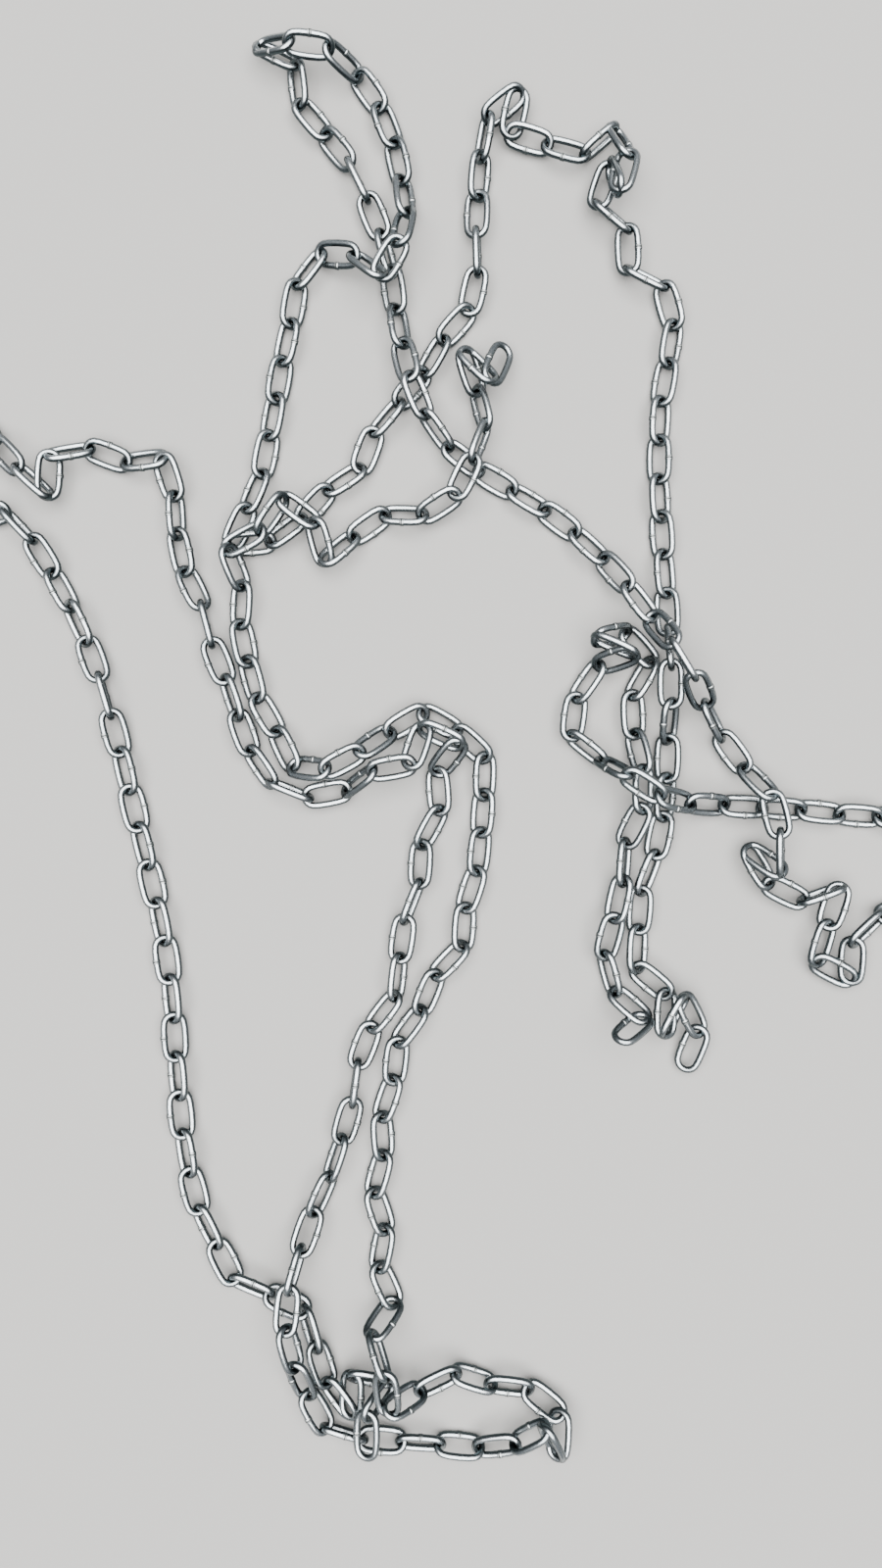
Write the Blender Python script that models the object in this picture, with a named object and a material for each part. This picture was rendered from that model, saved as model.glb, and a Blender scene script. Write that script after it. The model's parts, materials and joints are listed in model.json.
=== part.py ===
"""Two lengths of zinc-plated welded steel chain, lying in loose loops on a level floor.

The links are 6 mm wire with an inner length of 33 mm.
Each named object is a run of neighbouring links, joined where they bear on each other.
Units are metres, +Z is up, and the object stands on z = 0.
"""
import math

import bmesh
import bpy
import numpy as np
from mathutils import Matrix, Vector
from mathutils.bvhtree import BVHTree

MM = 0.001
WIRE = 6.0 * MM
PITCH = 33.0 * MM
LINK_WIDTH = 24.0 * MM
HALF_SPREAD = 0.5 * (LINK_WIDTH - WIRE)

# The plain link: six corners around, a square wire section of nearly the area of the round one.
CORNERS = 6
SECTION_SIDES = 4
SECTION_RADIUS = 0.65 * WIRE

# The plain link is a little short inside, so that neighbours in a run bite into each other and join.
BITE = 0.5 * MM
INNER_HALF = 0.5 * PITCH - BITE
HALF_CHORD = 0.5 * PITCH

# Where one run ends and the next begins, the links keep clear of each other.
RUN_GAP = 0.7 * MM
HALF_CHORD_AT_GAP = INNER_HALF - 0.5 * RUN_GAP

# The lowest corners are trimmed level, so that the links rest on narrow flats.
FLOOR_TRIM = 0.5 * MM
CUTTER_MARGIN = 50.0 * MM
CUTTER_DEPTH = 50.0 * MM

# A run of links ends where the chain is straight, level and squarely hooked.
FEWEST_IN_RUN = 4
MOST_IN_RUN = 22
CUT_COST = 0.02
END_COST = 9.0
UNEVEN_WEIGHT = 3.0
TWIST_SHARE = 0.5
UNEVEN_POWER = 4

# A link that crosses another is lifted step by step until it clears it; no link is steeper than STEEPEST.
CLEARANCE = 0.3 * MM
SEAT_STEP = 0.5 * MM
LAPS = 60
LAPS_PER_PARTING = 12
STEEPEST = 0.85

# The bearing points hold near their places for the first sweeps and then only keep the link length.
SWEEPS = 500
HELD_SWEEPS = 350
HOLD = 0.03

# Scale of the route points: 1.2 points to a millimetre, x to the right, y toward the viewer.
POINT = MM / 1.2
MIDDLE_X = 450.0
MIDDLE_Y = 800.0

# The scale holds at this height above the floor; seen from the eye, what lies higher looks further out.
SCALE_HEIGHT = 1.5 * WIRE
EYE_DISTANCE = 1050.0 * MM

# Height by which a link rides over a chain that it crosses, in millimetres.
OVER = 18.0

# How far a link leans from lying flat, in degrees; neighbours lean to opposite sides.
LEAN = 35.0

# Bearing points of chain A: x, y, then the height above resting in mm, then the lean of the next link.
CHAIN_A = [
    (515, 354, 8, 25), (502, 391, 18, 40), (474, 363, 12, 30), (486, 400, 0, 60), (491, 437, 6, 70),
    (481, 468, 14, 20), (462, 499, 14, 37), (429, 521, 6), (397, 530), (364, 546),
    (334, 569, 8, 35), (320, 533, OVER), (288, 512, OVER, 60), (263, 541, OVER, 20), (238, 563, 12, 45),
    (245, 598, 2, 32), (246, 634), (253, 676), (264, 713), (281, 745),
    (294, 779, 2, 30), (331, 789, 6), (366, 769, 6), (399, 745, 4), (434, 723, 2),
    (467, 746, 2), (496, 773, 0, 32), (494, 811), (491, 850), (487, 889),
    (475, 927, 0, 28), (472, 965, 0, 45), (445, 994, 0, 28), (430, 1031, 0, 46), (406, 1062, 0, 20),
    (402, 1103, 0, 37), (389, 1140), (391, 1182), (384, 1220), (390, 1257),
    (391, 1292), (395, 1326), (386, 1362, 18, 75), (391, 1400, OVER + 16, 15), (398, 1440, OVER + 12, 40),
    (430, 1418, 10, 30), (465, 1403, 4, 60), (503, 1412, 0, 30), (541, 1421, 2, 25), (564, 1446, 8, 30),
    (573, 1485, 4, 60), (549, 1453, 10), (523, 1472, 2, 15), (488, 1475, 0, 49), (451, 1474, 0, 37),
    (412, 1471, 0, 20), (375, 1469, 0, 75), (335, 1467, 0, 35), (313, 1431, 6, 26), (300, 1392, 12, 50),
    (285, 1353, OVER, 15), (294, 1313, OVER, 75), (307, 1274, 8, 15), (320, 1236, 2, 50), (337, 1199, 0, 60),
    (350, 1160, 0, 15), (360, 1123, 0, 85), (366, 1084, 0, 15), (381, 1047, 0, 45), (401, 1017, 0, 57),
    (408, 976, 0, 15), (415, 937, 0, 73), (426, 899, 0, 26), (434, 862, 0, 41), (444, 827, 0, 26),
    (449, 793, 2, 25), (466, 762, 14, 46), (431, 745, 16, 25), (417, 778, 8, 30), (384, 786, 2, 57),
    (353, 807, 0, 15), (317, 815, 0, 80), (278, 803, 0, 45), (255, 771, 0, 30), (243, 732, 0, 55),
    (230, 691, 0, 15), (213, 652, 0, 82), (204, 612, 0, 35), (188, 580, 0, 25), (181, 546, 0, 62),
    (178, 506, 0, 20), (166, 469, 6, 35), (129, 472, 0, 25), (91, 458, 0, 48), (51, 466, 8, 20),
    (52, 506, 6, 65), (22, 481, 8, 25), (-8, 451, 6, 35), (-30, 417), (-64, 398),
    (-103, 396), (-138, 412), (-160, 444), (-162, 483), (-145, 518),
    (-111, 538), (-72, 540), (-34, 530), (1, 511, 0, 80), (27, 537, 0, 15),
    (48, 571, 0, 50), (67, 608, 0, 45), (90, 645, 0, 20), (105, 685, 0, 82), (117, 725, 0, 20),
    (121, 766, 0, 35), (131, 806, 0, 20), (141, 846, 0, 37), (152, 886, 0, 22), (163, 925, 0, 40),
    (174, 965, 0, 18), (176, 1004, 0, 42), (180, 1045, 0, 18), (178, 1084, 0, 42), (183, 1125, 0, 18),
    (186, 1164, 0, 42), (193, 1205, 0, 18), (203, 1242, 0, 42), (224, 1276, 0, 20), (242, 1309, 0, 45),
    (275, 1321, 0, 30), (310, 1336, 0, 53), (322, 1374, 2, 35), (335, 1412, 2), (358, 1443, 4, 25),
    (360, 1404, 4, 45), (397, 1412, 2, 40), (376, 1445, 12, 20), (374, 1482, 14),
]

# Bearing points of chain B.
CHAIN_B = [
    (699, 1087, 2, 20), (714, 1053, 6, 30), (697, 1019, 10, 60), (679, 1051, 8, 25), (678, 1014, 6, 25),
    (652, 986, 2, 37), (651, 950, 0, 22), (654, 912, 0, 49), (668, 876, 0, 22), (677, 838, 0, 35),
    (681, 802, 0, 22), (683, 764, 0, 46), (684, 724, 0, 20), (683, 684, 0, 75), (684, 644, 0, 25),
    (683, 604, 0, 35), (676, 565), (673, 525), (671, 484), (671, 442),
    (673, 401), (683, 362), (690, 324), (673, 290, 0, 57), (645, 266, 2, 25),
    (632, 237, 4, 60), (622, 204, 4, 20), (616, 168, 4, 80), (636, 202, 14, 20), (642, 163, 10, 45),
    (626, 128, 2, 80), (591, 157, 2, 20), (559, 148, 2, 35), (525, 135, 4, 20), (533, 94, 8, 41),
    (495, 118, 4, 62), (491, 158, 0, 40), (487, 200, 0, 18), (486, 243, 0, 82), (486, 283, 0, 15),
    (473, 320, 0, 38), (453, 349), (432, 379), (408, 410, 0, 49), (385, 441, 0, 20),
    (363, 477, 0, 35), (337, 501), (309, 527), (277, 550), (239, 558, 2),
    (252, 521, 4), (268, 484, 0, 33), (275, 445), (282, 405), (289, 366),
    (297, 327), (306, 288, 0, 42), (326, 263, 0, 25), (361, 261, 6, 45), (381, 289, OVER, 15),
    (411, 254, OVER, 35), (420, 224, 4, 46), (414, 186, 0, 37), (404, 143, 0, 28), (391, 103, 0, 33),
    (367, 67, 0, 20), (334, 42, 2, 49), (296, 46, 6, 20), (257, 47, 6, 35), (295, 62, 2, 49),
    (301, 102, 0, 20), (328, 133, 0, 40), (357, 158, 0, 80), (371, 196, 0, 15), (392, 231, 0, 60),
    (402, 268, 0, 28), (406, 311, 0, 45), (404, 352, 8, 22), (413, 391, OVER, 35), (428, 431, 10, 66),
    (446, 465, 0, 25), (479, 481, 0, 35), (517, 497), (556, 513), (589, 531),
    (618, 562, 4), (644, 594, 14), (667, 628, OVER, 18), (689, 662, OVER, 80), (714, 693, 4, 18),
    (725, 729, 0, 60), (741, 766, 0, 30), (765, 796, 4, 35), (799, 817, OVER, 15), (797, 853, OVER, 70),
    (793, 891, 12, 25), (766, 868, 4, 30), (783, 903, 6, 20), (819, 921, 2, 82), (858, 909, 4, 20),
    (845, 943, 6, 30), (836, 979, 4, 25), (866, 1000, 4, 25), (869, 961, 6, 53), (897, 934, 2, 35),
    (935, 925), (973, 917), (1011, 907), (1036, 877), (1021, 842),
    (983, 832), (940, 834), (896, 837), (857, 831), (818, 826),
    (779, 822), (740, 824, 2), (701, 822, 14), (663, 819, OVER), (638, 790, OVER - 2, 53),
    (606, 770, 2, 60), (577, 746, 0, 15), (589, 711, 0, 46), (607, 681, 6, 35), (641, 662, 22, 75),
    (612, 656, 16, 50), (646, 646, 0, 25), (662, 676, 0, 50), (647, 713, 0, 18), (648, 750, 0, 46),
    (655, 788, 0, 35), (652, 826, 0, 20), (641, 862, 0, 60), (634, 899, 0, 41), (627, 936, 0, 15),
    (622, 972, 0, 60), (630, 1008, 0, 41), (646, 1038, 2, 45), (640, 1056, 22),
]

ZINC = (0.56, 0.58, 0.60, 1.0)
ZINC_METALLIC = 1.0
ZINC_ROUGHNESS = 0.35


def clear_scene():
    for item in list(bpy.data.objects):
        bpy.data.objects.remove(item, do_unlink=True)
    for mesh in list(bpy.data.meshes):
        bpy.data.meshes.remove(mesh)
    for material in list(bpy.data.materials):
        bpy.data.materials.remove(material)


def read_route(rows):
    """Give the plan positions and the heights of the bearing points, and the rolls of the links."""
    spots, lifts, rolls = [], [], []
    lean = LEAN
    for i, row in enumerate(rows):
        spots.append(complex(row[0] - MIDDLE_X, MIDDLE_Y - row[1]) * POINT)
        lifts.append(row[2] * MM if len(row) > 2 else 0.0)
        lean = row[3] if len(row) > 3 else lean
        rolls.append(math.radians(lean if i % 2 == 0 else -lean))
    return spots, lifts, rolls[:-1]


def bend_angles(spots):
    """Give the angle between neighbouring links at each bearing point."""
    bends = [0.0]
    for before, here, after in zip(spots, spots[1:], spots[2:]):
        turned = (after - here) / (here - before)
        bends.append(abs(math.atan2(turned.imag, turned.real)))
    return bends + [0.0]


def choose_cuts(bends, heights, rolls):
    """Choose where one run of links ends and the next begins."""
    last = len(bends) - 1
    slopes = [(high - low) / PITCH for low, high in zip(heights, heights[1:])]
    costs = [END_COST] * (last + 1)
    for j in range(1, last):
        twist = abs(math.pi / 2 - abs(rolls[j] - rolls[j - 1]))
        uneven = bends[j] + abs(slopes[j] - slopes[j - 1]) + TWIST_SHARE * twist
        costs[j] = CUT_COST + (UNEVEN_WEIGHT * uneven) ** UNEVEN_POWER
    best = {0: (0.0, [])}
    for j in range(1, last + 1):
        options = []
        for start in range(max(0, j - MOST_IN_RUN), j - FEWEST_IN_RUN + 1):
            if start in best:
                total, cuts = best[start]
                options.append((total + costs[j], cuts + [j]))
        if options:
            best[j] = min(options)
    return best[last][1][:-1]


def settle(spots, plans):
    """Move the bearing points as little as needed to give every link its own length."""
    free = list(spots)
    for sweep in range(SWEEPS):
        hold = HOLD if sweep < HELD_SWEEPS else 0.0
        for j, spot in enumerate(spots):
            free[j] += hold * (spot - free[j])
        for i, plan in enumerate(plans):
            span = free[i + 1] - free[i]
            shift = 0.5 * (1.0 - plan / abs(span)) * span
            free[i] += shift
            free[i + 1] -= shift
    for i, plan in enumerate(plans):
        span = free[i + 1] - free[i]
        free[i + 1] = free[i] + span * (plan / abs(span))
    return free


class Chain:
    """One length of chain: its route, and the frames of its links once it is laid."""

    def __init__(self, rows):
        self.spots, self.lifts, self.rolls = read_route(rows)
        self.count = len(self.rolls)
        self.bends = bend_angles(self.spots)
        self.rests = [HALF_SPREAD * abs(math.sin(roll)) + 0.5 * WIRE for roll in self.rolls]
        self.cuts = []
        self.part_runs()

    def heights(self):
        last = self.count - 1
        pairs = [(self.rests[max(j - 1, 0)], self.rests[min(j, last)]) for j in range(self.count + 1)]
        return [max(pair) + lift for pair, lift in zip(pairs, self.lifts)]

    def part_runs(self):
        self.cuts = choose_cuts(self.bends, self.heights(), self.rolls)

    def lift_link(self, i, amount):
        self.lifts[i] += amount
        self.lifts[i + 1] += amount

    def ease_slopes(self):
        heights = self.heights()
        for i in range(self.count):
            excess = abs(heights[i + 1] - heights[i]) - STEEPEST * PITCH
            if excess > 0.0:
                self.lifts[i if heights[i] < heights[i + 1] else i + 1] += excess

    def lay(self):
        """Give every link its frame: Y along the link, X across it in its own plane."""
        heights = self.heights()
        halves = [HALF_CHORD_AT_GAP if j in self.cuts else HALF_CHORD for j in range(self.count + 1)]
        plans = []
        for i in range(self.count):
            chord = halves[i] + halves[i + 1]
            rise = heights[i + 1] - heights[i]
            plans.append(math.sqrt(chord * chord - rise * rise))
        nearer = [(height - SCALE_HEIGHT) / EYE_DISTANCE for height in heights]
        free = settle([spot * (1.0 - share) for spot, share in zip(self.spots, nearer)], plans)
        self.frames = []
        for i in range(self.count):
            start = Vector((free[i].real, free[i].imag, heights[i]))
            end = Vector((free[i + 1].real, free[i + 1].imag, heights[i + 1]))
            along = (end - start).normalized()
            side = along.cross(Vector((0, 0, 1))).normalized()
            up = side.cross(along)
            across = math.cos(self.rolls[i]) * side + math.sin(self.rolls[i]) * up
            frame = Matrix((across, along, across.cross(along))).transposed().to_4x4()
            frame.translation = start + halves[i] * along
            self.frames.append(frame)


def seat_chains(chains):
    """Lift every link that crosses another until it lies on it and not in it."""
    tester = plain_link(SECTION_RADIUS + 0.5 * CLEARANCE)
    corners = [vertex.co.copy() for vertex in tester.vertices]
    faces = [tuple(face.vertices) for face in tester.polygons]
    above = {}
    for lap in range(LAPS):
        links = []
        for chain in chains:
            if lap % LAPS_PER_PARTING == 0:
                chain.part_runs()
            chain.lay()
            links += [(chain, i) for i in range(chain.count)]
        frames = [chain.frames[i] for chain, i in links]
        trees = [BVHTree.FromPolygons([frame @ corner for corner in corners], faces) for frame in frames]
        centres = np.array([frame.translation for frame in frames])
        spans = np.linalg.norm(centres[:, None] - centres[None, :], axis=2)
        lifted = 0
        for one, other in np.argwhere(np.triu(spans < PITCH + LINK_WIDTH, 1)):
            if other - one < 2 and links[one][0] is links[other][0]:
                continue
            if not trees[one].overlap(trees[other]):
                continue
            pair = (one, other) if centres[one][2] > centres[other][2] else (other, one)
            upper = above.setdefault(frozenset((one, other)), pair[0])
            chain, i = links[upper]
            chain.lift_link(i, SEAT_STEP)
            lifted += 1
        for chain in chains:
            chain.ease_slopes()
        if lifted == 0 and lap % LAPS_PER_PARTING != 0:
            break
    print("laps", lap + 1, "links still touching", lifted)


def plain_link(section_radius):
    """Make the mesh of one plain link: a coarse torus drawn out along Y."""
    half_turn = math.pi / CORNERS
    ring = HALF_SPREAD / math.cos(half_turn)
    bpy.ops.mesh.primitive_torus_add(
        major_segments=CORNERS,
        minor_segments=SECTION_SIDES,
        major_radius=ring,
        minor_radius=section_radius,
    )
    torus = bpy.context.active_object
    mesh = torus.data.copy()
    bpy.data.objects.remove(torus, do_unlink=True)
    mesh.transform(Matrix.Rotation(half_turn, 4, "Z"))
    stretch = INNER_HALF - (ring - SECTION_RADIUS)
    for vertex in mesh.vertices:
        vertex.co.y += math.copysign(stretch, vertex.co.y)
    return mesh


def gather(name, mesh, frames):
    """Make one object of copies of the mesh."""
    body = bmesh.new()
    for frame in frames:
        before = len(body.verts)
        body.from_mesh(mesh)
        body.verts.ensure_lookup_table()
        bmesh.ops.transform(body, matrix=frame, verts=body.verts[before:])
    result = bpy.data.meshes.new(name)
    body.to_mesh(result)
    body.free()
    item = bpy.data.objects.new(name, result)
    bpy.context.scene.collection.objects.link(item)
    return item


def zinc_material(name):
    material = bpy.data.materials.new(name)
    material.use_nodes = True
    shader = material.node_tree.nodes["Principled BSDF"]
    shader.inputs["Base Color"].default_value = ZINC
    shader.inputs["Metallic"].default_value = ZINC_METALLIC
    shader.inputs["Roughness"].default_value = ZINC_ROUGHNESS
    return material


def floor_cutter(name, low, high):
    """Make the box that takes away whatever reaches below the floor."""
    bpy.ops.mesh.primitive_cube_add(size=1.0)
    cutter = bpy.context.active_object
    cutter.name = name
    width = high.x - low.x + 2.0 * CUTTER_MARGIN
    length = high.y - low.y + 2.0 * CUTTER_MARGIN
    middle = 0.5 * (low + high)
    cutter.data.transform(Matrix.Diagonal((width, length, CUTTER_DEPTH, 1.0)))
    cutter.data.transform(Matrix.Translation((middle.x, middle.y, -0.5 * CUTTER_DEPTH)))
    return cutter


def combine(body, tool, operation):
    """Apply one Boolean to the body and remove the tool."""
    tool.hide_render = True
    tool.display_type = "WIRE"
    step = body.modifiers.new("combine", "BOOLEAN")
    step.operation = operation
    step.solver = "EXACT"
    step.object = tool
    step.use_self = operation == "UNION"
    bpy.context.view_layer.update()
    graph = bpy.context.evaluated_depsgraph_get()
    result = bpy.data.meshes.new_from_object(body.evaluated_get(graph))
    body.modifiers.clear()
    body.data = result
    bpy.data.objects.remove(tool, do_unlink=True)


def build_run(name, mesh, frames):
    """Join a run of links into one closed body, trimmed level where it rests on the floor."""
    run = gather(name, mesh, frames[0::2])
    if len(frames) > 1:
        combine(run, gather(name + "_others", mesh, frames[1::2]), "UNION")
    points = np.array([vertex.co for vertex in run.data.vertices])
    low, high = Vector(points.min(axis=0)), Vector(points.max(axis=0))
    if low.z < 0.0:
        combine(run, floor_cutter(name + "_floor", low, high), "DIFFERENCE")
    run.data.materials.clear()
    run.data.materials.append(zinc_material("zinc_" + name))
    return run


def build():
    clear_scene()
    mesh = plain_link(SECTION_RADIUS)
    corners = [vertex.co.copy() for vertex in mesh.vertices]
    chains = {"a": Chain(CHAIN_A), "b": Chain(CHAIN_B)}
    seat_chains(list(chains.values()))
    frames = [frame for chain in chains.values() for frame in chain.frames]
    reach = np.array([frame @ corner for frame in frames for corner in corners])
    low, high = reach.min(axis=0), reach.max(axis=0)
    home = Matrix.Translation((-0.5 * (low[0] + high[0]), -0.5 * (low[1] + high[1]), -FLOOR_TRIM))
    for letter, chain in chains.items():
        starts = [0] + chain.cuts
        stops = chain.cuts + [chain.count]
        for number, (start, stop) in enumerate(zip(starts, stops), 1):
            name = f"chain_{letter}_run_{number:02d}"
            build_run(name, mesh, [home @ frame for frame in chain.frames[start:stop]])
            print(name, "links", start + 1, "to", stop)
    print("size", high - low)


build()
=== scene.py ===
# %% [markdown]
# # A heap of zinc-plated chain
# Two lengths of welded steel chain lie on a floor, in strands, loops and tangles.
# Every link is the same shape, so one link is modelled once and then laid many times.
# The work is in three steps: lay out the places of the links, model one link, and give it its zinc.
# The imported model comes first, because it says how large the heap is and where it lies.

import json
import math
import random

import bpy
import numpy as np
from mathutils import Matrix, Vector
from mathutils.bvhtree import BVHTree

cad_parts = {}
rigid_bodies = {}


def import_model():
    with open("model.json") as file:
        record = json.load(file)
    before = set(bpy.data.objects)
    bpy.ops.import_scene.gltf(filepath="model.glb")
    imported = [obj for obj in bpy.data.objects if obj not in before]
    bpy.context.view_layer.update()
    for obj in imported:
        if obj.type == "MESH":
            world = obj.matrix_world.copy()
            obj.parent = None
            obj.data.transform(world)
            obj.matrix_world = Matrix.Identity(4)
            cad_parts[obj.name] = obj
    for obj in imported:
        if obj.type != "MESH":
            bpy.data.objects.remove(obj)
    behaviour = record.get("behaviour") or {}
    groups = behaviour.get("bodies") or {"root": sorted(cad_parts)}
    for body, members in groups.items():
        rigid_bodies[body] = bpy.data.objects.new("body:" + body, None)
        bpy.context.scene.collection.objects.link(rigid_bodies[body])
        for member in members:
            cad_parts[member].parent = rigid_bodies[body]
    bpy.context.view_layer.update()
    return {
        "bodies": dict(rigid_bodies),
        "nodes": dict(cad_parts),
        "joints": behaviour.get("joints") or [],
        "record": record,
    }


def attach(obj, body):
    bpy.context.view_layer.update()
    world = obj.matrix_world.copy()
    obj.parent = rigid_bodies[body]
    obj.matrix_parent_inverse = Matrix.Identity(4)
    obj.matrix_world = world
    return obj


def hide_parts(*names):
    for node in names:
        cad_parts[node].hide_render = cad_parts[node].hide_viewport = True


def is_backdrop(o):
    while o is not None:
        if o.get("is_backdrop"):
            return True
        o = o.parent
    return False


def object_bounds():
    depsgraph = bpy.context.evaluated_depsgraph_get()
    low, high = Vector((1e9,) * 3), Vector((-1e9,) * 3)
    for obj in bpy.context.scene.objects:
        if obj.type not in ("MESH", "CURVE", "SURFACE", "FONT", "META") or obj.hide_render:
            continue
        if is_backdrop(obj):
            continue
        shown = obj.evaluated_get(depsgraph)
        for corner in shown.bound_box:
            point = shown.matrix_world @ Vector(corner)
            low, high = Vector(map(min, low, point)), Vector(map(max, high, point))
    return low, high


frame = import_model()
run_nodes = sorted(frame["nodes"])
print("runs in the packed model:", len(run_nodes))

# %% [markdown]
# ## Sizes
# The chain is the common 6 mm kind with an inner link length of 33 mm and a link width of 24 mm.
# Everything else follows from these sizes.
# They are given in millimetres and turned into metres at once, because Blender counts in metres.

# %% Sizes of the chain
MM = 0.001
WIRE = 6.0 * MM
PITCH = 33.0 * MM
LINK_WIDTH = 24.0 * MM
HALF_SPREAD = 0.5 * (LINK_WIDTH - WIRE)

print("length of a link over all, in mm:", round((PITCH + 2.0 * WIRE) / MM, 1))

# %% [markdown]
# ## Routes
# A chain's route is a list of bearing points, the places where two links hang in each other.
# Each row gives x and y in the picture's points, 1.2 points to a millimetre,
# then, where it matters, the height above resting in millimetres
# and how far the link that starts there leans from lying flat, in degrees.
# A lean holds for the links that follow until a row changes it.
# A curve drawn by hand would look as smooth, but a list of bearing points says where every single link is.

# %% Route of chain A
# Height by which a link rides over a chain that it crosses, in millimetres.
OVER = 18.0

CHAIN_A = [
    (515, 354, 8, 25), (502, 391, 18, 40), (474, 363, 12, 30), (486, 400, 0, 60), (491, 437, 6, 70),
    (481, 468, 14, 20), (462, 499, 14, 37), (429, 521, 6), (397, 530), (364, 546),
    (334, 569, 8, 35), (320, 533, OVER), (288, 512, OVER, 60), (263, 541, OVER, 20), (238, 563, 12, 45),
    (245, 598, 2, 32), (246, 634), (253, 676), (264, 713), (281, 745),
    (294, 779, 2, 30), (331, 789, 6), (366, 769, 6), (399, 745, 4), (434, 723, 2),
    (467, 746, 2), (496, 773, 0, 32), (494, 811), (491, 850), (487, 889),
    (475, 927, 0, 28), (472, 965, 0, 45), (445, 994, 0, 28), (430, 1031, 0, 46), (406, 1062, 0, 20),
    (402, 1103, 0, 37), (389, 1140), (391, 1182), (384, 1220), (390, 1257),
    (391, 1292), (395, 1326), (386, 1362, 18, 75), (391, 1400, OVER + 16, 15), (398, 1440, OVER + 12, 40),
    (430, 1418, 10, 30), (465, 1403, 4, 60), (503, 1412, 0, 30), (541, 1421, 2, 25), (564, 1446, 8, 30),
    (573, 1485, 4, 60), (549, 1453, 10), (523, 1472, 2, 15), (488, 1475, 0, 49), (451, 1474, 0, 37),
    (412, 1471, 0, 20), (375, 1469, 0, 75), (335, 1467, 0, 35), (313, 1431, 6, 26), (300, 1392, 12, 50),
    (285, 1353, OVER, 15), (294, 1313, OVER, 75), (307, 1274, 8, 15), (320, 1236, 2, 50), (337, 1199, 0, 60),
    (350, 1160, 0, 15), (360, 1123, 0, 85), (366, 1084, 0, 15), (381, 1047, 0, 45), (401, 1017, 0, 57),
    (408, 976, 0, 15), (415, 937, 0, 73), (426, 899, 0, 26), (434, 862, 0, 41), (444, 827, 0, 26),
    (449, 793, 2, 25), (466, 762, 14, 46), (431, 745, 16, 25), (417, 778, 8, 30), (384, 786, 2, 57),
    (353, 807, 0, 15), (317, 815, 0, 80), (278, 803, 0, 45), (255, 771, 0, 30), (243, 732, 0, 55),
    (230, 691, 0, 15), (213, 652, 0, 82), (204, 612, 0, 35), (188, 580, 0, 25), (181, 546, 0, 62),
    (178, 506, 0, 20), (166, 469, 6, 35), (129, 472, 0, 25), (91, 458, 0, 48), (51, 466, 8, 20),
    (52, 506, 6, 65), (22, 481, 8, 25), (-8, 451, 6, 35), (-30, 417), (-64, 398),
    (-103, 396), (-138, 412), (-160, 444), (-162, 483), (-145, 518),
    (-111, 538), (-72, 540), (-34, 530), (1, 511, 0, 80), (27, 537, 0, 15),
    (48, 571, 0, 50), (67, 608, 0, 45), (90, 645, 0, 20), (105, 685, 0, 82), (117, 725, 0, 20),
    (121, 766, 0, 35), (131, 806, 0, 20), (141, 846, 0, 37), (152, 886, 0, 22), (163, 925, 0, 40),
    (174, 965, 0, 18), (176, 1004, 0, 42), (180, 1045, 0, 18), (178, 1084, 0, 42), (183, 1125, 0, 18),
    (186, 1164, 0, 42), (193, 1205, 0, 18), (203, 1242, 0, 42), (224, 1276, 0, 20), (242, 1309, 0, 45),
    (275, 1321, 0, 30), (310, 1336, 0, 53), (322, 1374, 2, 35), (335, 1412, 2), (358, 1443, 4, 25),
    (360, 1404, 4, 45), (397, 1412, 2, 40), (376, 1445, 12, 20), (374, 1482, 14),
]
print("links of chain A:", len(CHAIN_A) - 1)

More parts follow.
